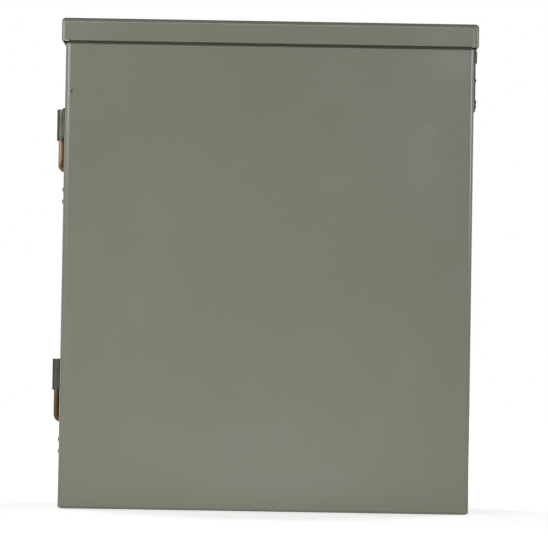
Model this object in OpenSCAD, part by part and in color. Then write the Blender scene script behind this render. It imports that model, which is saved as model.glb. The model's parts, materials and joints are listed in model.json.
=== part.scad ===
// Roadside utility cabinet: a folded sheet-metal box with a drip hood, a door on lift-off
// pin hinges and a quarter-turn latch. Millimetres. Seen from the front, X runs to the right,
// Y to the back and Z up, and the origin is the centre of the base.

/* [Body] */
// Width of the body over its side walls
body_w = 504; // [360:1:900]
// Depth of the body from the jamb face to the back wall
body_d = 203; // [150:1:400]
// Height of the cabinet from its base to the top of the hood
overall_h = 610; // [480:1:1200]
// Thickness of the sheet metal
sheet_t = 1.5; // [1:0.1:2]
// Outer radius of the folds in the sheet metal
bend_r = 4.5; // [3:0.1:6]
// Width of the jamb flanges round the door opening
jamb_w = 22; // [18:1:40]
// Height of the flanges that hold the end caps in the body
cap_flange_h = 14; // [8:1:25]

/* [Hood] */
// Height of the hood's skirt
hood_skirt_h = 28.5; // [16:0.5:60]
// How far the hood stands out past the door on each side
hood_side_over = 5; // [1:0.1:15]
// How far the hood stands out in front of the door
hood_front_over = 6; // [3:0.5:40]
// Gap between the hood's skirt and the top of the door
hood_gap = 2.2; // [1.5:0.1:8]
// Outer radius of the hood's top edges
hood_edge_r = 6; // [3:0.1:9]
// Outer radius of the hood's upright corners
hood_corner_r = 4; // [3:0.1:12]
// Depth of the drip lip turned in along the front of the skirt
hood_lip_d = 8; // [4:0.5:10]

/* [Door] */
// Gap between the door's side flanges and the body
door_side_gap = 1.3; // [1:0.1:3]
// Distance from the jamb face to the back of the door panel
door_standoff = 7; // [5:0.5:15]
// How far the door's side flanges reach back past the jamb face
door_overlap = 20; // [17:0.5:35]
// Height of the door's lower edge above the base
door_rise = 1; // [1:0.1:10]
// How far the door's top laps over the head of the opening
head_lap = 16; // [8:1:30]
// Outer radius of the folds at the door's sides
door_side_r = 6.5; // [3:0.1:8]
// Outer radius of the folds at the door's top and bottom
door_end_r = 2.5; // [2.5:0.1:5]
// Radius of the door's corners seen from the front
door_corner_r = 2.5; // [1:0.1:6]
// Width of the door stiffener over its brims
stiffener_w = 64; // [50:1:120]
// Depth of the door stiffener
stiffener_d = 14; // [8:1:25]
// Radius of the rubber bumpers
bumper_r = 6; // [3:0.5:8]

/* [Hinges] */
// Diameter of the hinge pins below the knuckles
pin_d = 7; // [5:0.1:9]
// Length of the hinge knuckles
knuckle_len = 39; // [28:1:60]
// Thickness of the hinge leaves
leaf_t = 2.6; // [1.5:0.1:4]
// Distance from the top of the door down to the foot of the upper knuckle
upper_hinge_drop = 120; // [80:1:160]
// Distance from the bottom of the door up to the foot of the lower knuckle
lower_hinge_rise = 145.5; // [110:0.5:180]
// Length of pin that shows below each knuckle
pin_drop = 40; // [30:1:60]
// Radial clearance between pin and knuckle
pin_fit = 0.05; // [0.02:0.01:0.1]
// Distance from the rear edge of the door's flange back to the hinge axis
hinge_setback = 9; // [8:0.5:14]
// Thickness of the brackets that carry the pins
bracket_t = 2.5; // [1.5:0.1:3.5]

/* [Latch] */
// Distance from the top of the door down to the latch spindle
latch_drop = 68; // [50:1:120]
// Diameter of the latch spindle
spindle_d = 8; // [6:0.5:9]
// Length of the latch cam from the spindle's axis to its tip
cam_len = 24; // [16:1:32]
// Width of the latch cam
cam_w = 10; // [9:0.5:13]
// Thickness of the latch plate
latch_plate_t = 1.8; // [1:0.1:3]
// Height of the hem folded over at the top of the latch plate
latch_hem_h = 15; // [8:0.5:24]

/* [Inside and mounting] */
// Distance from the body's sides to the mounting panel's edges
panel_side_gap = 38; // [30:1:80]
// Distance from the body's ends to the mounting panel's edges
panel_end_gap = 44; // [30:1:90]
// Distance from the back wall to the mounting panel
panel_standoff = 16; // [13:1:40]
// Thickness of the mounting panel
panel_t = 2.5; // [1.5:0.1:3]
// Diameter of the panel studs
stud_d = 8; // [5:0.5:10]
// Diameter of the wall mounting holes
mount_hole_d = 11; // [6:0.5:14]
// Distance from the body's sides to the wall mounting holes
mount_hole_side = 22; // [21:1:30]
// Distance from the body's ends to the wall mounting holes
mount_hole_end = 54; // [30:1:120]
// How far the embossed mounting pads stand out past the back of the hood
pad_clear = 1.5; // [0.5:0.5:6]
// Diameter of the outer knockout rings in the base
knockout_d = 44; // [36:1:60]
// Distance between the knockouts' centres
knockout_pitch = 120; // [70:1:150]

/* [Hidden] */
$fn = 64;

paint_colour = "#7d7f72";
panel_colour = "#c9cbc8";
zinc_colour = "#a9aaa6";
copper_colour = "#96653f";
dark_colour = "#54554d";
rubber_colour = "#222222";

// How far cuts run past the faces they open
overrun = 1;

// Body: planes of the walls and of the end caps
front_y = -body_d / 2;
back_y = body_d / 2;
wall_x = body_w / 2;
wall_in_x = wall_x - sheet_t;
opening_w = body_w - 2 * jamb_w;
cap_top_z = overall_h - sheet_t;
wrap_top_z = cap_top_z - sheet_t;
// Clear length left at the ends of a cap's flanges
cap_relief = 12;

// Door: a pan whose side flanges lap over the body's walls
door_w = body_w + 2 * (door_side_gap + sheet_t);
door_x = door_w / 2;
door_in_y = front_y - door_standoff;
door_front_y = door_in_y - sheet_t;
door_rear_y = front_y + door_overlap;
door_d = door_rear_y - door_front_y;
skirt_z = overall_h - hood_skirt_h;
door_top_z = skirt_z - hood_gap;
door_h = door_top_z - door_rise;
door_mid_z = door_rise + door_h / 2;
// Clearance between the door's top and bottom flanges and the jamb face
end_flange_gap = 1;
stiffener_end_gap = 45;
stiffener_brim = 14;
bumper_end_gap = 32;

// Hood: its plan covers the door and the body
hood_w = door_w + 2 * hood_side_over;
hood_front_y = door_front_y - hood_front_over;
// The hood's rear fold stands off the back wall, so that its inner curve clears the roof's edge
hood_back_over = hood_edge_r;
hood_d = back_y + hood_back_over - hood_front_y;
hood_mid_y = hood_front_y + hood_d / 2;
hood_lip_w = hood_w - 2 * hood_corner_r;

// Rivets: shanks fill their holes but for a small clearance
rivet_r = 2.4;
rivet_fit = 0.05;
rivet_head_r = 3.8;
rivet_head_h = 2.2;
rivet_tail_rim = 1;
rivet_tail_h = 0.7;

// Hinges: the axis stands one knuckle radius outside the door's left flange
pin_r = pin_d / 2;
journal_share = 0.89;
journal_r = pin_r * journal_share;
knuckle_bore_r = journal_r + pin_fit;
knuckle_r = knuckle_bore_r + leaf_t;
axis_x = -(door_x + knuckle_r);
axis_y = door_rear_y + hinge_setback;
upper_knuckle_z = door_top_z - upper_hinge_drop;
lower_knuckle_z = door_rise + lower_hinge_rise;
leaf_len = hinge_setback + door_overlap;
leaf_corner_r = 4;
leaf_rivet_pitch = 22;
leaf_rivet_y = door_rear_y - door_overlap / 2;
// The knuckle's roll stops short of its leaf and leaves a slit into the bore
roll_gap = 0.5;
roll_gap_share = 0.5;
// The pin's tapered tip ends below the top of the knuckle
pin_tip_gap = 1.5;
pin_tip_h = 1.6;
pin_tip_share = 0.75;
// The bend brings the pin from its axis to the face of the bracket
pin_reach = -axis_x - wall_x - bracket_t;
pin_bend_share = 0.95;
pin_bend_r = pin_reach * pin_bend_share;
pin_hole_fit = 0.05;
pin_head_r = 5.5;
pin_head_h = 2.5;

// Pin brackets: plates on the outside of the left wall, behind the door's flange
bracket_clear = 2;
bracket_half_w = hinge_setback - bracket_clear;
bracket_edge = 7;
bracket_corner_r = 3;
bracket_rivet_drop = 21.5;
bracket_rivet_pitch = 15;
bracket_head_r = 3.6;
bracket_head_h = 4.2;

// Latch: the cam turns behind a strike plate on the right jamb
spindle_r = spindle_d / 2;
spindle_fit = 0.06;
strike_t = 1.5;
strike_margin = 3;
cam_clear = 0.5;
cam_t = 3;
cam_inset = 7.5;
cam_in_x = wall_in_x - cam_inset - cam_t;
latch_z = door_top_z - latch_drop;
spindle_y = front_y + sheet_t + strike_t + cam_clear + cam_w / 2;
spindle_head_rim = 1.6;
spindle_head_h = 1.8;
spindle_slot_w = 1.8;
spindle_slot_d = 1;
square_share = 0.68;
square_w = spindle_d * square_share;
square_fit = 0.05;
thread_share = 0.94;
latch_thread_r = square_w / 2 * thread_share;
latch_nut_r = 5;
latch_nut_h = 4;
thread_end = 1;
notch_clear = 2;
notch_h = cam_w + 2 * notch_clear;
ring_t = 0.7;
ring_gap = 0.1;
ring_rim = 1.6;
latch_plate_edge = 1.2;
latch_plate_corner_r = 3;
latch_front_room = spindle_y - door_front_y - door_side_r;
latch_plate_half_w = min(door_rear_y - spindle_y, latch_front_room) - latch_plate_edge;
latch_plate_top_z = door_top_z - latch_plate_edge;
latch_hem_gap = 0.3;
latch_hem_z = latch_plate_top_z - latch_hem_h;
latch_fold_z = latch_plate_top_z - latch_plate_t;
latch_plate_h = latch_fold_z - latch_z + latch_plate_half_w;
latch_rivet_r = 1.6;
latch_rivet_head_r = 2.8;
latch_rivet_head_h = 1.4;
latch_rivet_pitch = 2 * (latch_plate_half_w - latch_rivet_head_r - latch_plate_edge);
latch_rivet_low_z = latch_z + spindle_r + spindle_head_rim;
latch_rivet_share = 0.52;
latch_rivet_z = latch_rivet_low_z + latch_rivet_share * (latch_hem_z - latch_rivet_low_z);

// Mounting panel, its studs and the ground stud
panel_w = body_w - 2 * panel_side_gap;
panel_h = cap_top_z - 2 * panel_end_gap;
panel_mid_z = cap_top_z / 2;
panel_return_d = 11;
panel_bend_r = 4;
panel_front_y = back_y - sheet_t - panel_standoff - panel_t;
stud_inset = 26;
stud_r = stud_d / 2;
stud_collar_rim = 3.5;
stud_nut_rim = 3.5;
stud_nut_h = 6;
stud_end = 5;
stud_hole_fit = 0.4;
thread_fit = 0.05;
ground_y = 30;
ground_z = 75;
ground_r = 3;
ground_nut_rim = 2.8;
ground_nut_h = 5;
ground_len = 20;

// Embossed pads round the wall mounting holes, and knockout rings scored in the base
pad_h = hood_back_over + pad_clear;
pad_foot_r = 17;
pad_face_r = 10.5;
mount_x = wall_x - mount_hole_side;
mount_zs = [mount_hole_end, cap_top_z - mount_hole_end];
ring_shares = [1, 0.65];
score_w = 0.8;
score_share = 0.3;

// Rectangle centred on the origin with true arcs at its corners
module round_rect(w, h, r) {
    square([w - 2 * r, h], center = true);
    square([w, h - 2 * r], center = true);
    for (x = [-1, 1], y = [-1, 1])
        translate([x * (w / 2 - r), y * (h / 2 - r)])
            circle(r = r);
}

// Rectangle that stands on the X axis, with true arcs at its two far corners
module round_end(w, d, r) {
    translate([-w / 2, 0])
        square([w, d - r]);
    translate([r - w / 2, 0])
        square([w - 2 * r, d]);
    for (x = [-1, 1])
        translate([x * (w / 2 - r), d - r])
            circle(r = r);
}

// Plate that faces along X, centred on Y and Z
module side_plate(w, h, t, r) {
    rotate([90, 0, 90])
        linear_extrude(height = t)
            round_rect(w, h, r);
}

// Round bar along X from the given place
module bar_x(r, len) {
    rotate([0, 90, 0])
        cylinder(r = r, h = len);
}

// Round bar along Y from the given place
module bar_y(r, len) {
    rotate([-90, 0, 0])
        cylinder(r = r, h = len);
}

// Rivet along Z: a domed head above the origin, the shank and a flat tail below
module rivet(shank_r, head_r, head_h, grip) {
    dome_r = (head_r * head_r + head_h * head_h) / (2 * head_h);
    intersection() {
        translate([0, 0, head_h - dome_r])
            sphere(r = dome_r);
        cylinder(r = dome_r, h = dome_r);
    }
    translate([0, 0, -grip])
        cylinder(r = shank_r, h = grip);
    translate([0, 0, -grip - rivet_tail_h])
        cylinder(r = shank_r + rivet_tail_rim, h = rivet_tail_h);
}

// Hexagon nut along Z on a thread of the given radius
module hex_nut(across_r, thread_r, h) {
    difference() {
        cylinder(r = across_r, h = h, $fn = 6);
        translate([0, 0, -overrun])
            cylinder(r = thread_r + thread_fit, h = h + 2 * overrun);
    }
}

// Places of the wall mounting holes on the back wall's inner face
module at_mount_holes() {
    for (x = [-mount_x, mount_x], z = mount_zs)
        translate([x, back_y - sheet_t, z])
            children();
}

// Places of the panel studs on the back wall's inner face
module at_panel_studs() {
    half_w = panel_w / 2 - stud_inset;
    half_h = panel_h / 2 - stud_inset;
    for (x = [-half_w, half_w], z = [-half_h, half_h])
        translate([x, back_y - sheet_t, panel_mid_z + z])
            children();
}

// Places of both hinges, at the feet of their knuckles
module at_hinges() {
    for (z = [upper_knuckle_z, lower_knuckle_z])
        translate([axis_x, axis_y, z])
            children();
}

// Places of one bracket's rivets, from the foot of its knuckle
module at_bracket_rivets() {
    for (n = [0, 1])
        translate([pin_reach, 0, -pin_drop - bracket_rivet_drop - n * bracket_rivet_pitch])
            children();
}

// Places of one leaf's rivets, from the foot of its knuckle
module at_leaf_rivets() {
    for (n = [-1, 1])
        translate([knuckle_r - leaf_t, leaf_rivet_y - axis_y, (knuckle_len + n * leaf_rivet_pitch) / 2])
            children();
}

// Places of the latch plate's rivets on its outer face
module at_latch_rivets() {
    for (n = [-1, 1])
        translate([door_x + latch_plate_t, spindle_y + n * latch_rivet_pitch / 2, latch_rivet_z])
            children();
}

// Back, sides and jamb flanges, folded from one sheet
module body_wrap() {
    color(paint_colour)
        difference() {
            union() {
                translate([0, 0, sheet_t])
                    linear_extrude(height = wrap_top_z - sheet_t)
                        difference() {
                            round_rect(body_w, body_d, bend_r);
                            round_rect(body_w - 2 * sheet_t, body_d - 2 * sheet_t, bend_r - sheet_t);
                            translate([-opening_w / 2, front_y - overrun])
                                square([opening_w, sheet_t + 2 * overrun]);
                        }
                at_mount_holes()
                    translate([0, sheet_t, 0])
                        rotate([-90, 0, 0])
                            cylinder(r1 = pad_foot_r, r2 = pad_face_r, h = pad_h);
            }
            at_mount_holes() {
                rotate([-90, 0, 0])
                    cylinder(r1 = pad_foot_r, r2 = pad_face_r, h = pad_h);
                bar_y(mount_hole_d / 2, pad_h + sheet_t + overrun);
            }
            at_hinges() {
                translate([pin_reach, 0, pin_r - pin_drop])
                    bar_x(pin_r + pin_hole_fit, bracket_t + sheet_t + overrun);
                at_bracket_rivets()
                    bar_x(rivet_r + rivet_fit, bracket_t + sheet_t + overrun);
            }
            translate([opening_w / 2 - overrun, front_y - overrun, latch_z - notch_h / 2])
                cube([jamb_w + 2 * overrun, spindle_y + notch_h / 2 - front_y + overrun, notch_h]);
        }
}

// End cap: a plate on the body's rim, with flanges inside the walls and a lip across the opening
module end_cap(lip_z, lip_h, flange_z) {
    side_len = body_d - 2 * (sheet_t + cap_relief);
    back_len = body_w - 2 * (sheet_t + cap_relief);
    linear_extrude(height = sheet_t)
        round_rect(body_w, body_d, bend_r);
    translate([-opening_w / 2, front_y, lip_z])
        cube([opening_w, sheet_t, lip_h]);
    for (x = [-wall_in_x, wall_in_x - sheet_t])
        translate([x, -side_len / 2, flange_z])
            cube([sheet_t, side_len, cap_flange_h]);
    translate([-back_len / 2, back_y - 2 * sheet_t, flange_z])
        cube([back_len, sheet_t, cap_flange_h]);
}

// Roof of the body, with the head of the door opening behind the door's top edge
module top_panel() {
    head_h = wrap_top_z - door_top_z + head_lap;
    color(paint_colour)
        translate([0, 0, wrap_top_z])
            end_cap(-head_h, head_h, -cap_flange_h);
}

// Floor of the body, with the sill of the door opening and knockouts scored in both faces
module bottom_pan() {
    score_h = sheet_t * score_share + overrun;
    color(paint_colour)
        difference() {
            end_cap(sheet_t, jamb_w, sheet_t);
            for (n = [-1, 0, 1], ring = ring_shares, z = [-overrun, sheet_t + overrun - score_h])
                translate([n * knockout_pitch, 0, z])
                    score_ring(knockout_d / 2 * ring, score_h);
        }
}

// Ring-shaped cutter for a knockout's score line
module score_ring(r, h) {
    difference() {
        cylinder(r = r, h = h);
        translate([0, 0, -overrun])
            cylinder(r = r - score_w, h = h + 2 * overrun);
    }
}

// Block with rounded upright corners and rounded top edges
module hood_block(w, d, h, corner_r, edge_r) {
    intersection() {
        linear_extrude(height = h)
            round_rect(w, d, corner_r);
        rotate([90, 0, 0])
            linear_extrude(height = d, center = true)
                round_end(w, h, edge_r);
        rotate([90, 0, 90])
            linear_extrude(height = w, center = true)
                round_end(d, h, edge_r);
    }
}

// Drip hood, a shallow cap over the top of the body
module drip_hood() {
    color(paint_colour) {
        translate([0, hood_mid_y, skirt_z])
            difference() {
                hood_block(hood_w, hood_d, hood_skirt_h, hood_corner_r, hood_edge_r);
                translate([0, 0, -overrun])
                    hood_block(
                        hood_w - 2 * sheet_t,
                        hood_d - 2 * sheet_t,
                        hood_skirt_h - sheet_t + overrun,
                        hood_corner_r - sheet_t,
                        hood_edge_r - sheet_t
                    );
            }
        translate([-hood_lip_w / 2, hood_front_y + sheet_t, skirt_z])
            cube([hood_lip_w, hood_lip_d, sheet_t]);
    }
}

// Removable panel with side edges turned back
module mounting_panel() {
    color(panel_colour)
        difference() {
            translate([0, panel_front_y + panel_return_d, panel_mid_z - panel_h / 2])
                linear_extrude(height = panel_h)
                    rotate(180)
                        difference() {
                            round_end(panel_w, panel_return_d, panel_bend_r);
                            translate([0, -panel_t])
                                round_end(panel_w - 2 * panel_t, panel_return_d, panel_bend_r - panel_t);
                        }
            at_panel_studs()
                translate([0, -panel_standoff - panel_t - overrun, 0])
                    bar_y(stud_r + stud_hole_fit, panel_t + 2 * overrun);
        }
}

// Weld studs with collars that hold the panel off the back wall
module panel_studs() {
    color(zinc_colour)
        at_panel_studs() {
            translate([0, -panel_standoff, 0])
                bar_y(stud_r + stud_collar_rim, panel_standoff);
            translate([0, -panel_standoff - panel_t - stud_nut_h - stud_end, 0])
                bar_y(stud_r, panel_t + stud_nut_h + stud_end);
        }
}

// Nuts that clamp the panel to its studs
module panel_nuts() {
    color(zinc_colour)
        at_panel_studs()
            translate([0, -panel_standoff - panel_t - stud_nut_h, 0])
                rotate([-90, 0, 0])
                    hex_nut(stud_r + stud_nut_rim, stud_r, stud_nut_h);
}

// Stud for the earth wire, welded inside the left wall
module ground_stud() {
    color(copper_colour)
        translate([-wall_in_x, ground_y, ground_z])
            bar_x(ground_r, ground_len);
}

// Nut on the ground stud
module ground_nut() {
    color(copper_colour)
        translate([-wall_in_x, ground_y, ground_z])
            rotate([0, 90, 0])
                hex_nut(ground_r + ground_nut_rim, ground_r, ground_nut_h);
}

// Hinge pin: an upright journal on a shoulder, a bend and a leg headed inside the wall
module hinge_pin() {
    leg_z = pin_r - pin_drop;
    straight_z = leg_z + pin_bend_r;
    journal_len = knuckle_len - pin_tip_gap - pin_tip_h;
    cylinder(r = journal_r, h = journal_len);
    translate([0, 0, journal_len])
        cylinder(r1 = journal_r, r2 = journal_r * pin_tip_share, h = pin_tip_h);
    translate([0, 0, straight_z])
        cylinder(r = pin_r, h = -straight_z);
    translate([pin_bend_r, 0, straight_z])
        rotate([90, 0, 0])
            rotate([0, 0, 180])
                rotate_extrude(angle = 90)
                    translate([pin_bend_r, 0])
                        circle(r = pin_r);
    translate([pin_bend_r, 0, leg_z])
        bar_x(pin_r, pin_reach - pin_bend_r + bracket_t + sheet_t);
    translate([pin_reach + bracket_t + sheet_t, 0, leg_z])
        bar_x(pin_head_r, pin_head_h);
}

module upper_hinge_pin() {
    color(copper_colour)
        translate([axis_x, axis_y, upper_knuckle_z])
            hinge_pin();
}

module lower_hinge_pin() {
    color(copper_colour)
        translate([axis_x, axis_y, lower_knuckle_z])
            hinge_pin();
}

// Bracket plate with a hole for the pin's leg and two for its rivets
module pin_bracket() {
    top_z = pin_d - pin_drop + bracket_edge;
    foot_z = -pin_drop - bracket_rivet_drop - bracket_rivet_pitch - bracket_edge;
    difference() {
        translate([pin_reach, 0, (top_z + foot_z) / 2])
            side_plate(2 * bracket_half_w, top_z - foot_z, bracket_t, bracket_corner_r);
        translate([pin_reach - overrun, 0, pin_r - pin_drop])
            bar_x(pin_r + pin_hole_fit, bracket_t + 2 * overrun);
        at_bracket_rivets()
            translate([-overrun, 0, 0])
                bar_x(rivet_r + rivet_fit, bracket_t + 2 * overrun);
    }
}

module upper_pin_bracket() {
    color(paint_colour)
        translate([axis_x, axis_y, upper_knuckle_z])
            pin_bracket();
}

module lower_pin_bracket() {
    color(paint_colour)
        translate([axis_x, axis_y, lower_knuckle_z])
            pin_bracket();
}

// Round-head rivets through the brackets and the left wall
module pin_bracket_rivets() {
    color(dark_colour)
        at_hinges()
            at_bracket_rivets()
                rotate([0, -90, 0])
                    rivet(rivet_r, bracket_head_r, bracket_head_h, bracket_t + sheet_t);
}

// Wear plate behind the right jamb, above the latch notch
module strike_plate() {
    strike_in_x = opening_w / 2 + strike_margin;
    strike_w = wall_x - bend_r - strike_in_x;
    strike_z = latch_z + notch_h / 2 + strike_margin;
    color(zinc_colour)
        translate([strike_in_x, front_y + sheet_t, strike_z])
            cube([strike_w, strike_t, cam_len]);
}

// Block with the door's outline, its front edges and its corners rounded
module door_block(w, h, rear_y, d, side_r, end_r, corner_r) {
    translate([0, rear_y, door_mid_z])
        intersection() {
            linear_extrude(height = h, center = true)
                rotate(180)
                    round_end(w, d, side_r);
            rotate([0, -90, 0])
                linear_extrude(height = w, center = true)
                    rotate(180)
                        round_end(h, d, end_r);
            rotate([90, 0, 0])
                linear_extrude(height = d)
                    round_rect(w, h, corner_r);
        }
}

// Door pan: front panel, deep side flanges and short top and bottom flanges
module door_panel() {
    end_flange_y = front_y - end_flange_gap;
    inner_w = door_w - 2 * sheet_t;
    inner_corner_r = max(door_corner_r - sheet_t, sheet_t / 2);
    color(paint_colour)
        difference() {
            door_block(door_w, door_h, door_rear_y, door_d, door_side_r, door_end_r, door_corner_r);
            door_block(
                inner_w,
                door_h - 2 * sheet_t,
                door_rear_y + overrun,
                door_rear_y + overrun - door_in_y,
                door_side_r - sheet_t,
                door_end_r - sheet_t,
                inner_corner_r
            );
            translate([-inner_w / 2, end_flange_y, door_rise - overrun])
                cube([inner_w, door_rear_y - end_flange_y + overrun, door_h + 2 * overrun]);
            at_hinges()
                at_leaf_rivets()
                    bar_x(rivet_r + rivet_fit, leaf_t + sheet_t + overrun);
            at_latch_rivets()
                translate([-latch_plate_t - sheet_t - overrun, 0, 0])
                    bar_x(latch_rivet_r + rivet_fit, latch_plate_t + sheet_t + overrun);
            translate([door_x - sheet_t - overrun, spindle_y, latch_z])
                bar_x(spindle_r + spindle_fit, sheet_t + 2 * overrun);
        }
}

// Hat-section channel welded to the back of the door panel
module door_stiffener() {
    hat_w = stiffener_w - 2 * stiffener_brim;
    color(paint_colour)
        translate([0, door_in_y, door_rise + stiffener_end_gap])
            linear_extrude(height = door_h - 2 * stiffener_end_gap)
                difference() {
                    union() {
                        round_end(hat_w, stiffener_d, bend_r);
                        translate([-stiffener_w / 2, 0])
                            square([stiffener_w, sheet_t]);
                    }
                    translate([0, -overrun])
                        round_end(hat_w - 2 * sheet_t, stiffener_d - sheet_t + overrun, bend_r - sheet_t);
                }
}

// Rubber buttons that keep the door panel off the jambs
module door_bumpers() {
    color(rubber_colour)
        for (x = [-1, 1], z = [door_rise + bumper_end_gap, door_top_z - bumper_end_gap])
            translate([x * (wall_x - jamb_w / 2), door_in_y, z])
                bar_y(bumper_r, door_standoff);
}

// Rolled knuckle with its leaf along the door's left flange
module hinge_knuckle() {
    slit_d = knuckle_r + overrun - knuckle_bore_r * roll_gap_share;
    difference() {
        union() {
            cylinder(r = knuckle_r, h = knuckle_len);
            translate([knuckle_r, 0, knuckle_len / 2])
                rotate([0, -90, 0])
                    linear_extrude(height = leaf_t)
                        rotate(180)
                            round_end(knuckle_len, leaf_len, leaf_corner_r);
        }
        translate([0, 0, -overrun])
            cylinder(r = knuckle_bore_r, h = knuckle_len + 2 * overrun);
        translate([knuckle_bore_r - roll_gap, -knuckle_r - overrun, -overrun])
            cube([roll_gap, slit_d, knuckle_len + 2 * overrun]);
        at_leaf_rivets()
            translate([-overrun, 0, 0])
                bar_x(rivet_r + rivet_fit, leaf_t + 2 * overrun);
    }
}

module upper_hinge_knuckle() {
    color(dark_colour)
        translate([axis_x, axis_y, upper_knuckle_z])
            hinge_knuckle();
}

module lower_hinge_knuckle() {
    color(dark_colour)
        translate([axis_x, axis_y, lower_knuckle_z])
            hinge_knuckle();
}

// Rivets through the hinge leaves and the door's left flange
module hinge_leaf_rivets() {
    color(dark_colour)
        at_hinges()
            at_leaf_rivets()
                rotate([0, -90, 0])
                    rivet(rivet_r, rivet_head_r, rivet_head_h, leaf_t + sheet_t);
}

// Hem of the latch plate: two leaves of the sheet, a hairline gap and the round of the fold
module latch_hem() {
    leaf_h = latch_fold_z - latch_hem_z;
    translate([door_x, spindle_y - latch_plate_half_w, latch_hem_z])
        difference() {
            cube([2 * latch_plate_t, 2 * latch_plate_half_w, leaf_h]);
            translate([latch_plate_t, -overrun, -overrun])
                cube([latch_hem_gap, 2 * (latch_plate_half_w + overrun), leaf_h + overrun]);
        }
    translate([door_x + latch_plate_t, spindle_y - latch_plate_half_w, latch_fold_z])
        bar_y(latch_plate_t, 2 * latch_plate_half_w);
}

// Plate on the door's right flange that carries the latch spindle
module latch_plate() {
    color(dark_colour)
        difference() {
            union() {
                translate([door_x, spindle_y, latch_fold_z - latch_plate_h / 2])
                    side_plate(2 * latch_plate_half_w, latch_plate_h, latch_plate_t, latch_plate_corner_r);
                latch_hem();
            }
            at_latch_rivets()
                translate([-latch_plate_t - overrun, 0, 0])
                    bar_x(latch_rivet_r + rivet_fit, latch_plate_t + 2 * overrun);
            translate([door_x - overrun, spindle_y, latch_z])
                bar_x(spindle_r + spindle_fit, latch_plate_t + 2 * overrun);
        }
}

// Rivets through the latch plate and the door's right flange
module latch_plate_rivets() {
    color(dark_colour)
        at_latch_rivets()
            rotate([0, 90, 0])
                rivet(latch_rivet_r, latch_rivet_head_r, latch_rivet_head_h, latch_plate_t + sheet_t);
}

// Slotted spindle with a square for the cam and a thread for its nut
module latch_spindle() {
    seat_x = door_x + latch_plate_t;
    cam_x = cam_in_x + cam_t;
    thread_x = cam_in_x - latch_nut_h - thread_end;
    color(zinc_colour)
        translate([0, spindle_y, latch_z])
            difference() {
                union() {
                    translate([seat_x, 0, 0])
                        bar_x(spindle_r + spindle_head_rim, spindle_head_h);
                    translate([cam_x, 0, 0])
                        bar_x(spindle_r, seat_x - cam_x);
                    translate([cam_in_x, -square_w / 2, -square_w / 2])
                        cube([cam_t, square_w, square_w]);
                    translate([thread_x, 0, 0])
                        bar_x(latch_thread_r, cam_in_x - thread_x);
                }
                translate([seat_x + spindle_head_h - spindle_slot_d, -spindle_d, -spindle_slot_w / 2])
                    cube([spindle_slot_d + overrun, 2 * spindle_d, spindle_slot_w]);
            }
}

// Ring that holds the spindle against the door's flange
module latch_ring() {
    color(zinc_colour)
        translate([door_x - sheet_t - ring_gap - ring_t, spindle_y, latch_z])
            difference() {
                bar_x(spindle_r + ring_rim, ring_t);
                translate([-overrun, 0, 0])
                    bar_x(spindle_r, ring_t + 2 * overrun);
            }
}

// Cam that swings up behind the strike plate, shown turned clear of it
module latch_cam() {
    hole_w = square_w + 2 * square_fit;
    color(zinc_colour)
        translate([cam_in_x, spindle_y, latch_z])
            rotate([90, 0, 90])
                linear_extrude(height = cam_t)
                    difference() {
                        union() {
                            circle(r = cam_w / 2);
                            translate([0, -cam_w / 2])
                                square([cam_len - cam_w / 2, cam_w]);
                            translate([cam_len - cam_w / 2, 0])
                                circle(r = cam_w / 2);
                        }
                        square(hole_w, center = true);
                    }
}

// Nut that holds the cam on the spindle
module latch_nut() {
    color(zinc_colour)
        translate([cam_in_x - latch_nut_h, spindle_y, latch_z])
            rotate([0, 90, 0])
                hex_nut(latch_nut_r, latch_thread_r, latch_nut_h);
}

body_wrap();
top_panel();
bottom_pan();
drip_hood();
mounting_panel();
panel_studs();
panel_nuts();
ground_stud();
ground_nut();
upper_hinge_pin();
lower_hinge_pin();
upper_pin_bracket();
lower_pin_bracket();
pin_bracket_rivets();
strike_plate();
door_panel();
door_stiffener();
door_bumpers();
upper_hinge_knuckle();
lower_hinge_knuckle();
hinge_leaf_rivets();
latch_plate();
latch_plate_rivets();
latch_spindle();
latch_ring();
latch_cam();
latch_nut();
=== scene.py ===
"""Looks of a roadside utility cabinet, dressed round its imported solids.

Metres, in the frame of the solids: X to the right seen from the front, Y to the back, Z up,
with the origin at the centre of the base.
"""

import json
import math

import bpy
from mathutils import Matrix, Vector


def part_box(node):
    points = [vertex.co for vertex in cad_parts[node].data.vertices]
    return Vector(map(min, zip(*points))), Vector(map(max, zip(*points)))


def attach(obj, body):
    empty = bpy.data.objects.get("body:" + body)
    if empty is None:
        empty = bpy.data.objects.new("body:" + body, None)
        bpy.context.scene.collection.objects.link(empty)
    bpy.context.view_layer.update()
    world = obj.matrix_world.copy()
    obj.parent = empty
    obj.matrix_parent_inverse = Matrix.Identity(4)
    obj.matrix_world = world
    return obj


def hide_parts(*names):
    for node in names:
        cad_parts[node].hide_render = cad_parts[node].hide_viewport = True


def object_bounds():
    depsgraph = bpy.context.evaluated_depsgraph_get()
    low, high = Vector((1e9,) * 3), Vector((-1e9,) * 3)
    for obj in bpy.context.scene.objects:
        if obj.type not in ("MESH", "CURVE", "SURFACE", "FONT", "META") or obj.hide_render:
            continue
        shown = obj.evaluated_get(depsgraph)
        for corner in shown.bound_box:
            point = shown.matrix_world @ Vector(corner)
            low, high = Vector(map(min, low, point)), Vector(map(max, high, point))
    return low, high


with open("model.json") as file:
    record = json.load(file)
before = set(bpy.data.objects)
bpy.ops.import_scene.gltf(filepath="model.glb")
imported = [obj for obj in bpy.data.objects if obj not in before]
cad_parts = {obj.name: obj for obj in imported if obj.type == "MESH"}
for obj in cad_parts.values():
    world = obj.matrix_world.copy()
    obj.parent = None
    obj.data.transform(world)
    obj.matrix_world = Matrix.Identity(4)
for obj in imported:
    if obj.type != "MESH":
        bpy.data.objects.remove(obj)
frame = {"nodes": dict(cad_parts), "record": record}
cad_low, cad_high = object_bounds()
nodes = frame["nodes"]
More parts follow.
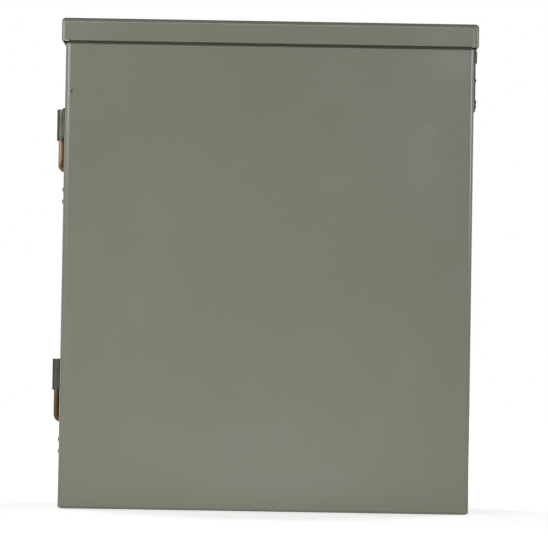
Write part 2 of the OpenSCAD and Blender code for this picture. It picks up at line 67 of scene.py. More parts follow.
scene = bpy.context.scene

MM = 0.001
UP = Vector((0, 0, 1))

# Places taken from the solids
hood_low, hood_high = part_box("drip_hood")
stud_low, stud_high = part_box("panel_studs")
nut_low, nut_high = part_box("panel_nuts")
ground_low, ground_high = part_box("ground_stud")
ground_nut_low, ground_nut_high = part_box("ground_nut")
bumper_low, bumper_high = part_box("door_bumpers")
stiffener_low, stiffener_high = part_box("door_stiffener")
bottom_low, bottom_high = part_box("bottom_pan")
DOOR_FACE_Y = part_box("door_panel")[0].y
HOOD_FACE_Y = hood_low.y

# Sheet metal, fasteners and bumpers, as in the solids
SHEET_T = 1.5 * MM
HOOD_EDGE_R = 6 * MM
STIFFENER_BRIM = 14 * MM
STUD_R = 4 * MM
STUD_COLLAR_R = 7.5 * MM
STUD_COLLAR_LEN = 16 * MM
STUD_NUT_R = 7.5 * MM
GROUND_R = 3 * MM
BUMPER_R = 6 * MM

# Colours, linear
PAINT = (0.169, 0.175, 0.131)
# Pale blue-grey that dust and painted sheen lighten the paint towards
PAINT_DUST_AND_SHEEN = (0.285, 0.300, 0.305)
PAINT_RUBBED = (0.29, 0.295, 0.25)
PRIMER = (0.055, 0.056, 0.040)
PANEL_PAINT = (0.60, 0.61, 0.59)
PANEL_MARKS = (0.44, 0.44, 0.41)
ZINC = (0.38, 0.38, 0.36)
ZINC_DULL = (0.19, 0.19, 0.178)
COPPER = (0.325, 0.231, 0.134)
COPPER_DARK = (0.112, 0.058, 0.019)
KNUCKLE = (0.050, 0.051, 0.040)
# Painted highlight down the front of dark steel
KNUCKLE_HIGHLIGHT = (0.245, 0.247, 0.210)
RUBBER = (0.018, 0.018, 0.018)
RUBBER_BLOOM = (0.07, 0.07, 0.065)
FLOOR = (0.82, 0.82, 0.82)
WHITE = (1.0, 1.0, 1.0)

# Shader nodes: the colour sockets of a mix, the samples of two nodes, and the cosine between
# a rounded and a plain normal on a sharp edge and on a flat face
MIX_FIRST = 6
MIX_SECOND = 7
MIX_RESULT = 2
BEVEL_SAMPLES = 4
CREVICE_SAMPLES = 16
EDGE_COSINE = 0.93
FLAT_COSINE = 0.998


class Shader:
    """One procedural material on the principled shader, with short ways to add its nodes."""

    def __init__(self, name):
        self.material = bpy.data.materials.new(name)
        self.material.use_nodes = True
        self.tree = self.material.node_tree
        self.bsdf = self.tree.nodes["Principled BSDF"]
        from_object = self.node("ShaderNodeTexCoord").outputs
        self.place = from_object["Object"]
        self.facing = from_object["Normal"]

    def put(self, socket, value):
        """Links a socket to another one, or sets its value."""
        if isinstance(value, bpy.types.NodeSocket):
            self.tree.links.new(value, socket)
        elif socket.type == "RGBA" and len(value) == 3:
            socket.default_value = (*value, 1)
        else:
            socket.default_value = value

    def node(self, kind, settings=None, **inputs):
        """Adds a node. The inputs go by their sockets' names, with underscores for spaces."""
        made = self.tree.nodes.new(kind)
        for name, value in (settings or {}).items():
            setattr(made, name, value)
        for name, value in inputs.items():
            self.put(made.inputs[name.replace("_", " ")], value)
        return made

    def surface(self, **inputs):
        """Sets inputs of the principled shader."""
        for name, value in inputs.items():
            self.put(self.bsdf.inputs[name.replace("_", " ")], value)

    def noise(self, scale, detail=2.0, roughness=0.5, place=None, distortion=0.0):
        """Noise from 0 to 1, with scale in waves a metre."""
        where = self.place if place is None else place
        made = self.node(
            "ShaderNodeTexNoise", Vector=where, Scale=scale, Detail=detail,
            Roughness=roughness, Distortion=distortion,
        )
        return made.outputs[0]

    def maths(self, operation, first, second):
        """A sum, difference or product of two numbers."""
        made = self.node("ShaderNodeMath", {"operation": operation})
        self.put(made.inputs[0], first)
        self.put(made.inputs[1], second)
        return made.outputs[0]

    def vector(self, operation, first, second=(0, 0, 0)):
        """A vector operation that gives a vector, or a number for a length or a dot product."""
        made = self.node("ShaderNodeVectorMath", {"operation": operation})
        self.put(made.inputs[0], first)
        self.put(made.inputs[1], second)
        number = operation in ("LENGTH", "DOT_PRODUCT")
        return made.outputs["Value" if number else "Vector"]

    def part(self, vector, axis):
        """One of a vector's three numbers."""
        return self.node("ShaderNodeSeparateXYZ", Vector=vector).outputs[axis]

    def spread(self, value, low, high, to_low=0.0, to_high=1.0):
        """Maps a value from one range to another, smoothly and within the range."""
        made = self.node(
            "ShaderNodeMapRange", {"interpolation_type": "SMOOTHSTEP"}, Value=value,
            From_Min=low, From_Max=high, To_Min=to_low, To_Max=to_high,
        )
        return made.outputs[0]

    def varied(self, scale, by, reach=0.2, detail=2.0):
        """A number about 1 that the middle of a noise takes up and down by a share."""
        return self.spread(self.noise(scale, detail), 0.5 - reach, 0.5 + reach, 1 - by, 1 + by)

    def mix(self, factor, first, second):
        """Blends two colours."""
        made = self.node("ShaderNodeMix", {"data_type": "RGBA"})
        self.put(made.inputs[0], factor)
        self.put(made.inputs[MIX_FIRST], first)
        self.put(made.inputs[MIX_SECOND], second)
        return made.outputs[MIX_RESULT]

    def tint(self, colour, factor):
        """A colour times a number."""
        made = self.node("ShaderNodeMix", {"data_type": "RGBA", "blend_type": "MULTIPLY"})
        self.put(made.inputs[0], 1.0)
        self.put(made.inputs[MIX_FIRST], colour)
        self.put(made.inputs[MIX_SECOND], factor)
        return made.outputs[MIX_RESULT]

    def bump(self, height, distance, normal=None):
        """The normal over a relief whose height from 0 to 1 stands for a distance."""
        made = self.node("ShaderNodeBump", Height=height, Distance=distance, Strength=1.0)
        if normal is not None:
            self.put(made.inputs["Normal"], normal)
        return made.outputs[0]

    def soft_edges(self, radius):
        """The normal with sharp edges rounded a little, as under a coat of paint."""
        return self.node("ShaderNodeBevel", {"samples": BEVEL_SAMPLES}, Radius=radius).outputs[0]

    def sharp_edges(self, rounded):
        """1 on sharp edges and 0 elsewhere: where the rounded normal leaves the plain one."""
        plain = self.node("ShaderNodeNewGeometry").outputs["Normal"]
        cosine = self.vector("DOT_PRODUCT", rounded, plain)
        return self.spread(cosine, EDGE_COSINE, FLAT_COSINE, 1.0, 0.0)

    def crevices(self, reach):
        """1 in the open and towards 0 in corners."""
        made = self.node("ShaderNodeAmbientOcclusion", {"samples": CREVICE_SAMPLES}, Distance=reach)
        return made.outputs["AO"]

    def spot(self, centre, radii, soft, ragged, waves):
        """1 inside an ellipsoid and 0 outside it, with a soft and ragged edge."""
        away = self.vector("DIVIDE", self.vector("SUBTRACT", self.place, centre), radii)
        uneven = self.maths("SUBTRACT", self.noise(waves, detail=3.0), 0.5)
        wobble = self.maths("MULTIPLY", uneven, ragged)
        reach = self.maths("ADD", self.vector("LENGTH", away), wobble)
        return self.spread(reach, 1 - soft, 1 + soft, 1.0, 0.0)


# Powder coat: its patterns in waves a metre, how far they go, and its marks
PAINT_TONE_WAVES = 5.0
PAINT_TONE_BY = 0.03
PAINT_TONE_REACH = 0.25
PAINT_SPECKLE_WAVES = 650.0
PAINT_SPECKLE_BY = 0.018
PAINT_GLOSS_WAVES = 60.0
PAINT_ROUGHNESS = (0.19, 0.21)
PAINT_SPECULAR = 0.6
PAINT_EDGE_R = 0.7 * MM
PAINT_WEAR_WAVES = 55.0
PAINT_WEAR_MOST = 0.6
SHEET_WAVES = 7.0
SHEET_WAVE_H = 0.10 * MM
PEEL_WAVES = 430.0
PEEL_H = 0.012 * MM
DUST_WAVES = 13.0
DUST_MOST = 0.04
DUST_ROUGHNESS = 0.15
MARK_RAGGED = 0.7
SMUDGE_AND_SHEEN_SOFT = 0.7
SMUDGE_AND_SHEEN_WAVES = 75.0
CHIP_SOFT = 0.25
CHIP_WAVES = 420.0
CHIP_ROUGHNESS = 0.4
CHIP_STEP = 0.12 * MM


def paint_material(name, smudges_and_sheen=(), chips=()):
    """Semi-gloss powder coat: orange peel, slow changes of tone, a film of dust and any marks, partly
    smudges and partly painted sheen.
    """
    s = Shader(name)
    tone = s.varied(PAINT_TONE_WAVES, PAINT_TONE_BY, PAINT_TONE_REACH)
    speckle = s.varied(PAINT_SPECKLE_WAVES, PAINT_SPECKLE_BY)
    clouds = s.spread(s.noise(DUST_WAVES, roughness=0.4), low=0.5, high=0.8)
    dust_and_sheen = s.maths("MULTIPLY", clouds, DUST_MOST)
    # Smudges, partly dust and partly painted sheen, add to the dust clouds
    for centre, radii, strength in smudges_and_sheen:
        patch = s.spot(centre, radii, SMUDGE_AND_SHEEN_SOFT, MARK_RAGGED, SMUDGE_AND_SHEEN_WAVES)
        dust_and_sheen = s.maths("ADD", dust_and_sheen, s.maths("MULTIPLY", patch, strength))
    colour = s.tint(PAINT, s.maths("MULTIPLY", tone, speckle))
    colour = s.mix(dust_and_sheen, colour, PAINT_DUST_AND_SHEEN)
    gloss = s.noise(PAINT_GLOSS_WAVES, detail=3.0)
    roughness = s.spread(gloss, 0.3, 0.7, *PAINT_ROUGHNESS)
    roughness = s.maths("ADD", roughness, s.maths("MULTIPLY", dust_and_sheen, DUST_ROUGHNESS))
    normal = s.soft_edges(PAINT_EDGE_R)
    patch_noise = s.noise(PAINT_WEAR_WAVES, detail=4.0, roughness=0.65)
    patchy = s.spread(patch_noise, low=0.48, high=0.66, to_high=PAINT_WEAR_MOST)
    lightened = s.maths("MULTIPLY", s.sharp_edges(normal), patchy)
    colour = s.mix(lightened, colour, PAINT_RUBBED)
    normal = s.bump(s.noise(SHEET_WAVES, detail=1.0), SHEET_WAVE_H, normal)
    normal = s.bump(s.noise(PEEL_WAVES, detail=1.5), PEEL_H, normal)
    for centre, radii in chips:
        bare = s.spot(centre, radii, CHIP_SOFT, MARK_RAGGED, CHIP_WAVES)
        colour = s.mix(bare, colour, PRIMER)
        roughness = s.maths("ADD", roughness, s.maths("MULTIPLY", bare, CHIP_ROUGHNESS))
        normal = s.bump(s.maths("SUBTRACT", 1.0, bare), CHIP_STEP, normal)
    s.surface(Base_Color=colour, Roughness=roughness, Normal=normal)
    s.surface(Specular_IOR_Level=PAINT_SPECULAR)
    return s.material


# Enamel of the mounting panel
PANEL_MARK_WAVES = 14.0
PANEL_MARK_MOST = 0.12
PANEL_SPECKLE_WAVES = 520.0
PANEL_SPECKLE_BY = 0.015
PANEL_PEEL_WAVES = 380.0
PANEL_PEEL_H = 0.012 * MM
PANEL_EDGE_R = 0.5 * MM
PANEL_ROUGHNESS = (0.30, 0.45)


def panel_paint_material():
    """Pale enamel on the mounting panel, with faint handling marks."""
    s = Shader("panel_enamel")
    handled = s.noise(PANEL_MARK_WAVES, detail=5.0, roughness=0.6, distortion=1.2)
    marks = s.spread(handled, low=0.5, high=0.75, to_high=PANEL_MARK_MOST)
    speckle = s.varied(PANEL_SPECKLE_WAVES, PANEL_SPECKLE_BY)
    colour = s.mix(marks, s.tint(PANEL_PAINT, speckle), PANEL_MARKS)
    roughness = s.spread(marks, 0.0, PANEL_MARK_MOST, *PANEL_ROUGHNESS)
    peel = s.noise(PANEL_PEEL_WAVES, detail=1.5)
    normal = s.bump(peel, PANEL_PEEL_H, s.soft_edges(PANEL_EDGE_R))
    s.surface(Base_Color=colour, Roughness=roughness, Normal=normal)
    return s.material


# Zinc plating
ZINC_BLOTCH_WAVES = 140.0
ZINC_GRAIN_WAVES = 2600.0
ZINC_GRAIN_BY = 0.07
ZINC_RELIEF_WAVES = 1500.0
ZINC_RELIEF_H = 0.01 * MM
ZINC_EDGE_R = 0.25 * MM
ZINC_ROUGHNESS = (0.30, 0.48)


def zinc_material():
    """Zinc plating: bright with dull blotches and a fine grain."""
    s = Shader("zinc_plate")
    patches = s.noise(ZINC_BLOTCH_WAVES, detail=4.0, roughness=0.6)
    blotches = s.spread(patches, low=0.4, high=0.66)
    grain = s.varied(ZINC_GRAIN_WAVES, ZINC_GRAIN_BY)
    colour = s.tint(s.mix(blotches, ZINC, ZINC_DULL), grain)
    roughness = s.spread(blotches, 0.0, 1.0, *ZINC_ROUGHNESS)
    relief = s.noise(ZINC_RELIEF_WAVES)
    normal = s.bump(relief, ZINC_RELIEF_H, s.soft_edges(ZINC_EDGE_R))
    s.surface(Base_Color=colour, Roughness=roughness, Normal=normal)
    s.surface(Metallic=1.0)
    return s.material


# Copper plating, darker towards the lower end of each pin and by a share all over
COPPER_STREAK_WAVES = 160.0
COPPER_STREAK_STRETCH = (1, 1, 0.25)
COPPER_RELIEF_WAVES = 900.0
COPPER_RELIEF_H = 0.012 * MM
COPPER_EDGE_R = 0.3 * MM
COPPER_ROUGHNESS = (0.45, 0.65)
COPPER_METALLIC = 0.3
PIN_DARKENING = {"upper_hinge_pin": (0.4, 0.0), "lower_hinge_pin": (0.5, 0.38)}
GROUND_DARKENING = (0.2, 0.0)


def copper_material(name, low, high, end_share, overall_share):
    """Dulled copper plate, darker by a share all over and towards the piece's lower end, and streaked
    along it.
    """
    s = Shader(name)
    along = s.spread(s.part(s.place, "Z"), low, high, 1.0, 0.0)
    stretched = s.vector("MULTIPLY", s.place, COPPER_STREAK_STRETCH)
    streaks = s.noise(COPPER_STREAK_WAVES, detail=4.0, roughness=0.6, place=stretched)
    # Darker towards the lower end, and by a share all over
    darkened = s.maths("ADD", s.maths("MULTIPLY", along, end_share), overall_share)
    dark = s.spread(s.maths("ADD", streaks, darkened), low=0.55, high=1.05)
    colour = s.mix(dark, COPPER, COPPER_DARK)
    roughness = s.spread(dark, 0.0, 1.0, *COPPER_ROUGHNESS)
    relief = s.noise(COPPER_RELIEF_WAVES)
    normal = s.bump(relief, COPPER_RELIEF_H, s.soft_edges(COPPER_EDGE_R))
    s.surface(Base_Color=colour, Roughness=roughness, Normal=normal)
    s.surface(Metallic=COPPER_METALLIC)
    return s.material


# Dark paint on hinges and latch plate, with the share of its painted highlight on most pieces and on the
# lower knuckle
STEEL_CREVICE = 6 * MM
STEEL_HIGHLIGHT_WAVES = 70.0
STEEL_HIGHLIGHT_LEAST = 0.55
STEEL_MOTTLE_WAVES = 180.0
STEEL_MOTTLE_BY = 0.1
# Darkest share of the painted shade in corners
STEEL_CREVICE_SHADE = 0.4
STEEL_RELIEF_WAVES = 480.0
STEEL_RELIEF_H = 0.02 * MM
STEEL_EDGE_R = 0.4 * MM
STEEL_ROUGHNESS = (0.58, 0.4)
STEEL_SPECULAR = 0.3
FULL_HIGHLIGHT = 1.0
WEAK_HIGHLIGHT = 0.35


def dark_steel_material(name, highlight_share):
    """Dark painted steel with a painted highlight down the front of a round, painted shade in its corners
    and a random mottle.
    """
    s = Shader(name)
    open_air = s.spread(s.crevices(STEEL_CREVICE), low=0.35, high=0.95)
    # Painted highlight where a face turns to the front, in random patches and only in the open
    front = s.spread(s.maths("MULTIPLY", s.part(s.facing, "Y"), -1.0), low=0.86, high=1.0)
    patch_noise = s.spread(s.noise(STEEL_HIGHLIGHT_WAVES, detail=3.0), 0.25, 0.7, to_low=STEEL_HIGHLIGHT_LEAST)
    lightened = s.maths("MULTIPLY", front, patch_noise)
    lightened = s.maths("MULTIPLY", s.maths("MULTIPLY", lightened, open_air), highlight_share)
    mottle = s.varied(STEEL_MOTTLE_WAVES, STEEL_MOTTLE_BY, detail=3.0)
    # Painted shade in corners from the occlusion, times a random mottle
    shade_and_mottle = s.maths("MULTIPLY", mottle, s.spread(open_air, 0.0, 1.0, to_low=STEEL_CREVICE_SHADE))
    colour = s.tint(s.mix(lightened, KNUCKLE, KNUCKLE_HIGHLIGHT), shade_and_mottle)
    roughness = s.spread(lightened, 0.0, 1.0, *STEEL_ROUGHNESS)
    relief = s.noise(STEEL_RELIEF_WAVES)
    normal = s.bump(relief, STEEL_RELIEF_H, s.soft_edges(STEEL_EDGE_R))
    s.surface(Base_Color=colour, Roughness=roughness, Normal=normal)
    s.surface(Specular_IOR_Level=STEEL_SPECULAR)
    return s.material


# Rubber of the bumpers
RUBBER_BLOOM_WAVES = 220.0
RUBBER_BLOOM_MOST = 0.3
RUBBER_RELIEF_WAVES = 1100.0
RUBBER_RELIEF_H = 0.02 * MM
RUBBER_ROUGHNESS = (0.62, 0.85)


def rubber_material():
    """Matt black rubber with a dusty bloom."""
    s = Shader("bumper_rubber")
    clouds = s.noise(RUBBER_BLOOM_WAVES, detail=4.0, roughness=0.6)
    bloom = s.spread(clouds, low=0.45, high=0.75, to_high=RUBBER_BLOOM_MOST)
    colour = s.mix(bloom, RUBBER, RUBBER_BLOOM)
    roughness = s.spread(bloom, 0.0, RUBBER_BLOOM_MOST, *RUBBER_ROUGHNESS)
    normal = s.bump(s.noise(RUBBER_RELIEF_WAVES, detail=3.0), RUBBER_RELIEF_H)
    s.surface(Base_Color=colour, Roughness=roughness, Normal=normal)
    return s.material


# Marks on the front faces: places as X and Z, half widths and half heights, strengths of the smudges and
# of the patches of painted sheen
DOOR_SMUDGES_AND_SHEEN = [
    # Bluish patches on the door's upper right, partly dust and partly a painted reflection
    ((0.190, 0.480), (0.080, 0.130), 0.040),
    ((0.199, 0.478), (0.008, 0.009), 0.090),
    ((0.194, 0.466), (0.020, 0.020), 0.050),
    ((0.192, 0.425), (0.022, 0.026), 0.070),
    ((0.222, 0.372), (0.012, 0.022), 0.060),
    # Painted sheen at the door's top right corner
    ((0.230, 0.556), (0.050, 0.050), 0.090),
    ((0.236, 0.566), (0.032, 0.018), 0.150),
    ((-0.028, 0.086), (0.032, 0.028), 0.060),
    ((0.024, 0.092), (0.016, 0.018), 0.050),
    ((0.010, 0.036), (0.090, 0.022), 0.050),
    ((-0.094, 0.226), (0.014, 0.010), 0.030),
    ((-0.160, 0.250), (0.012, 0.018), 0.030),
    ((0.176, 0.190), (0.018, 0.024), 0.030),
]
DOOR_CHIPS = [((-0.2463, 0.5188), (0.0016, 0.0031))]
HOOD_SMUDGES_AND_SHEEN = [
    # Patches at the hood's ends: painted sheen, and partly dust at the right end
    ((0.226, 0.594), (0.045, 0.020), 0.120),
    ((-0.232, 0.598), (0.036, 0.018), 0.100),
]
SMUDGE_AND_SHEEN_DEPTH = 0.6 * MM
CHIP_DEPTH = 4 * MM


def on_face(marks, face_y, depth):
    """Marks with places and sizes in three dimensions, on a front face and down to a depth."""
    return [
        ((x, face_y, z), (half_w, depth, half_h), *rest)
        for (x, z), (half_w, half_h), *rest in marks
    ]


def band(count, first, second):
    """Faces between two rings of a mesh, each with the same count of points, by their numbers."""
    return [
        (first * count + i, first * count + (i + 1) % count,
         second * count + (i + 1) % count, second * count + i)
        for i in range(count)
    ]


def ring_mesh(name, rings, place, bored=False):
    """Closed mesh through rings of points, in order, with its ends filled or joined round a bore.

    The points are in the shape's own frame, and place brings them into the part's frame.
    """
    count = len(rings[0])
    last = len(rings) - 1
    faces = [face for n in range(last) for face in band(count, n, n + 1)]
    if bored:
        faces += band(count, last, 0)
    else:
        faces.append(tuple(reversed(range(count))))
        faces.append(tuple(last * count + i for i in range(count)))
    mesh = bpy.data.meshes.new(name)
    mesh.from_pydata([place @ Vector(p) for ring in rings for p in ring], [], faces)
    return mesh


def lathe_rings(profile, segments):
    """Rings for a turned shape along Z, from pairs of radius and height."""
    turns = [2 * math.pi * i / segments for i in range(segments)]
    return [[(r * math.cos(t), r * math.sin(t), z) for t in turns] for r, z in profile]


# Threads: depth as a share of the pitch, points in a turn and rings in a pitch
THREAD_DEPTH = 0.54
THREAD_SEGMENTS = 24
THREAD_STEPS = 6


def thread_rings(radius, pitch, start, end):
    """Rings for a threaded rod along Z, with a tapered start at its far end."""
    depth = THREAD_DEPTH * pitch
    count = max(2, round((end - start) / pitch * THREAD_STEPS))
    rings = []
    for n in range(count + 1):
        z = start + (end - start) * n / count
        taper = max(0.0, 1 - (end - z) / pitch) * depth
        ring = []
        for i in range(THREAD_SEGMENTS):
            turn = i / THREAD_SEGMENTS
            wave = abs(2 * ((z / pitch + turn) % 1) - 1)
            r = min(radius - depth * (1 - wave), radius - taper)
            angle = 2 * math.pi * turn
            ring.append((r * math.cos(angle), r * math.sin(angle), z))
        rings.append(ring)
    return rings


# Hexagon nuts: radius of the flat faces to that of the flats, chamfers and points in a ring
NUT_FACE_SHARE = 0.98
NUT_CHAMFER = math.radians(30)
NUT_MOUTH = 0.35 * MM
NUT_SEGMENTS = 48
NUT_SMOOTH_DEG = 20


def nut_rings(corner_r, bore_r, height):
    """Rings for a hexagon nut along Z, with its corners chamfered on both faces and an open bore."""
    flat_r = corner_r * math.cos(math.pi / 6)
    face_r = flat_r * NUT_FACE_SHARE
    slope = math.tan(NUT_CHAMFER)
    turns = [2 * math.pi * i / NUT_SEGMENTS for i in range(NUT_SEGMENTS)]

    def hexagon(turn):
        return flat_r / math.cos((turn % (math.pi / 3)) - math.pi / 6)

    def drop(turn):
        return (hexagon(turn) - face_r) * slope

    def ring(radius, rise):
        return [(radius(t) * math.cos(t), radius(t) * math.sin(t), rise(t)) for t in turns]

    def level_ring(radius, z):
        return ring(lambda t: radius, lambda t: z)

    mouth_r = bore_r + NUT_MOUTH
    return [
        level_ring(bore_r, NUT_MOUTH),
        level_ring(mouth_r, 0.0),
        level_ring(face_r, 0.0),
        ring(hexagon, drop),
        ring(hexagon, lambda t: height - drop(t)),
        level_ring(face_r, height),
        level_ring(mouth_r, height),
        level_ring(bore_r, height - NUT_MOUTH),
    ]


def facing(direction, at):
    """The placement that turns Z to the given direction and moves the origin to the given place."""
    turn = UP.rotation_difference(Vector(direction)).to_matrix().to_4x4()
    return Matrix.Translation(Vector(at)) @ turn


SMOOTH_DEG = 35


def piece(name, meshes, material, body, smooth_deg=SMOOTH_DEG):
    """One object from several meshes, on a body and with the given material."""
    joined = bpy.data.meshes.new(name)
    points = []
    faces = []
    for mesh in meshes:
        first = len(points)
        points += [v.co.copy() for v in mesh.vertices]
        faces += [tuple(first + i for i in p.vertices) for p in mesh.polygons]
        bpy.data.meshes.remove(mesh)
    joined.from_pydata(points, [], faces)
    joined.validate()
    joined.materials.append(material)
    made = bpy.data.objects.new(name, joined)
    scene.collection.objects.link(made)
    joined.polygons.foreach_set("use_smooth", [True] * len(joined.polygons))
    joined.set_sharp_from_angle(angle=math.radians(smooth_deg))
    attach(made, body)
    return made


def corners(low, high, inset):
    """X and Z of the four corners of a box seen from the front, moved in by an inset."""
    return [(x, z) for x in (low.x + inset, high.x - inset) for z in (low.z + inset, high.z - inset)]


# Studs: pitches of their threads, and the chamfer and the gap at the panel studs' collars
STUD_PITCH = 1.25 * MM
GROUND_PITCH = 1.0 * MM
COLLAR_CHAMFER = 0.6 * MM
COLLAR_GAP = 0.2 * MM


def make_panel_studs(material):
    """Threaded weld studs with chamfered collars."""
    collar = [
        (STUD_COLLAR_R, 0.0),
        (STUD_COLLAR_R, STUD_COLLAR_LEN - COLLAR_CHAMFER),
        (STUD_COLLAR_R - COLLAR_CHAMFER, STUD_COLLAR_LEN),
        (STUD_R, STUD_COLLAR_LEN),
    ]
    length = stud_high.y - stud_low.y
    rings = lathe_rings(collar, THREAD_SEGMENTS)
    rings += thread_rings(STUD_R, STUD_PITCH, STUD_COLLAR_LEN + COLLAR_GAP, length)
    meshes = [
        ring_mesh("stud", rings, facing((0, -1, 0), (x, stud_high.y, z)))
        for x, z in corners(stud_low, stud_high, STUD_COLLAR_R)
    ]
    made = piece("threaded_panel_studs", meshes, material, "cabinet")
    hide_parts("panel_studs")


def make_panel_nuts(material):
    """Chamfered nuts on the panel studs."""
    rings = nut_rings(STUD_NUT_R, STUD_R, nut_high.y - nut_low.y)
    meshes = [
        ring_mesh("nut", rings, facing((0, -1, 0), (x, nut_high.y, z)), bored=True)
        for x, z in corners(stud_low, stud_high, STUD_COLLAR_R)
    ]
    made = piece("chamfered_panel_nuts", meshes, material, "cabinet", NUT_SMOOTH_DEG)
    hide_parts("panel_nuts")


def make_ground_stud(material):
    """Threaded ground stud and its chamfered nut."""
    middle = (ground_low + ground_high) / 2
    place = facing((1, 0, 0), (ground_low.x, middle.y, middle.z))
    rings = thread_rings(GROUND_R, GROUND_PITCH, 0.0, ground_high.x - ground_low.x)
    meshes = [ring_mesh("stud", rings, place)]
    stud = piece("threaded_ground_stud", meshes, material, "cabinet")
    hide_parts("ground_stud")
    corner_r = (ground_nut_high.z - ground_nut_low.z) / 2
    rings = nut_rings(corner_r, GROUND_R, ground_nut_high.x - ground_nut_low.x)
    meshes = [ring_mesh("nut", rings, place, bored=True)]
    nut = piece("chamfered_ground_nut", meshes, material, "cabinet", NUT_SMOOTH_DEG)
    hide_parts("ground_nut")


# Bumpers: the draft and height of the foot, the brow, and the dimple as radius and depth
BUMPER_DRAFT = 0.3 * MM
BUMPER_FOOT_H = 0.6 * MM
BUMPER_BROW_R = 1.6 * MM
BUMPER_BROW_STEPS = 6
BUMPER_DIMPLE = [(2.2 * MM, 0.0), (1.7 * MM, 0.5 * MM), (0.6 * MM, 0.8 * MM)]
BUMPER_SEGMENTS = 32


def make_bumpers(material):
    """Moulded buttons with a rounded brow and a dimple."""
    depth = bumper_high.y - bumper_low.y
    arc = [math.radians(90 * n / BUMPER_BROW_STEPS) for n in range(BUMPER_BROW_STEPS + 1)]
    brow_r = BUMPER_R - BUMPER_BROW_R
    brow_z = depth - BUMPER_BROW_R
    profile = [(BUMPER_R - BUMPER_DRAFT, 0.0), (BUMPER_R, BUMPER_FOOT_H)]
    profile += [(brow_r + BUMPER_BROW_R * math.cos(a), brow_z + BUMPER_BROW_R * math.sin(a)) for a in arc]
    profile += [(r, depth - drop) for r, drop in BUMPER_DIMPLE]
    rings = lathe_rings(profile, BUMPER_SEGMENTS)
    meshes = [
        ring_mesh("bumper", rings, facing((0, 1, 0), (x, bumper_low.y, z)))
        for x, z in corners(bumper_low, bumper_high, BUMPER_R)
    ]
    made = piece("moulded_door_bumpers", meshes, material, "door")
    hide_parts("door_bumpers")


# Mark of a spot weld as radius and height, a low rim round a shallow dish, and where the marks stand
WELD_PROFILE = [
    (3.6 * MM, -0.05 * MM),
    (3.3 * MM, 0.06 * MM),
    (2.9 * MM, 0.10 * MM),
    (2.5 * MM, 0.04 * MM),
    (1.0 * MM, 0.02 * MM),
]
WELD_SEGMENTS = 20
STIFFENER_WELD_INSET = 18 * MM
STIFFENER_WELD_PITCH = 64 * MM
FOOT_WELD_DROP = 4 * MM
SIDE_WELD_FRONT = 40 * MM
SIDE_WELD_BACK = 28 * MM
SIDE_WELD_PITCH = 60 * MM
BACK_WELD_INSET = 40 * MM
BACK_WELD_PITCH = 84 * MM


def spaced(low, high, pitch):
    """Places from low to high, about a pitch apart."""
    count = max(1, round((high - low) / pitch))
    return [low + (high - low) * n / count for n in range(count + 1)]


def make_spot_welds(material):
    """Spot welds along the stiffener's brims and round the foot of the body."""
    rings = lathe_rings(WELD_PROFILE, WELD_SEGMENTS)
    face_y = stiffener_low.y + SHEET_T
    half_w = (stiffener_high.x - stiffener_low.x) / 2 - STIFFENER_BRIM / 2
    top_z = stiffener_high.z - STIFFENER_WELD_INSET
    brim_z = spaced(stiffener_low.z + STIFFENER_WELD_INSET, top_z, STIFFENER_WELD_PITCH)
    meshes = [
        ring_mesh("weld", rings, facing((0, 1, 0), (x, face_y, z)))
        for x in (-half_w, half_w)
        for z in brim_z
    ]
    piece("stiffener_spot_welds", meshes, material, "door")
    foot_z = (bottom_low.z + SHEET_T + bottom_high.z) / 2 - FOOT_WELD_DROP
    side_y = spaced(bottom_low.y + SIDE_WELD_FRONT, bottom_high.y - SIDE_WELD_BACK, SIDE_WELD_PITCH)
    back_x = spaced(bottom_low.x + BACK_WELD_INSET, bottom_high.x - BACK_WELD_INSET, BACK_WELD_PITCH)
    places = [((side, 0, 0), (side * bottom_high.x, y, foot_z)) for side in (-1, 1) for y in side_y]
    places += [((0, 1, 0), (x, bottom_high.y, foot_z)) for x in back_x]
    meshes = [ring_mesh("weld", rings, facing(way, at)) for way, at in places]
    piece("body_spot_welds", meshes, material, "cabinet")


# Seams of the hood: place, bead, steps up the skirt and over the bend, and how the width changes
SEAM_INSET = 7 * MM
SEAM_FOOT_GAP = 0.6 * MM
SEAM_BEAD_R = 0.50 * MM
SEAM_FLATNESS = 1.6
SEAM_SUNK = 0.32 * MM
SEAM_STEPS = 10
SEAM_BEND_DEG = 8
SEAM_SEGMENTS = 10
SEAM_SMOOTH_DEG = 60
SEAM_CHANGE = 0.12
SEAM_CHANGE_STEP = 2.6
SEAM_CHANGE_TURN = 1.7


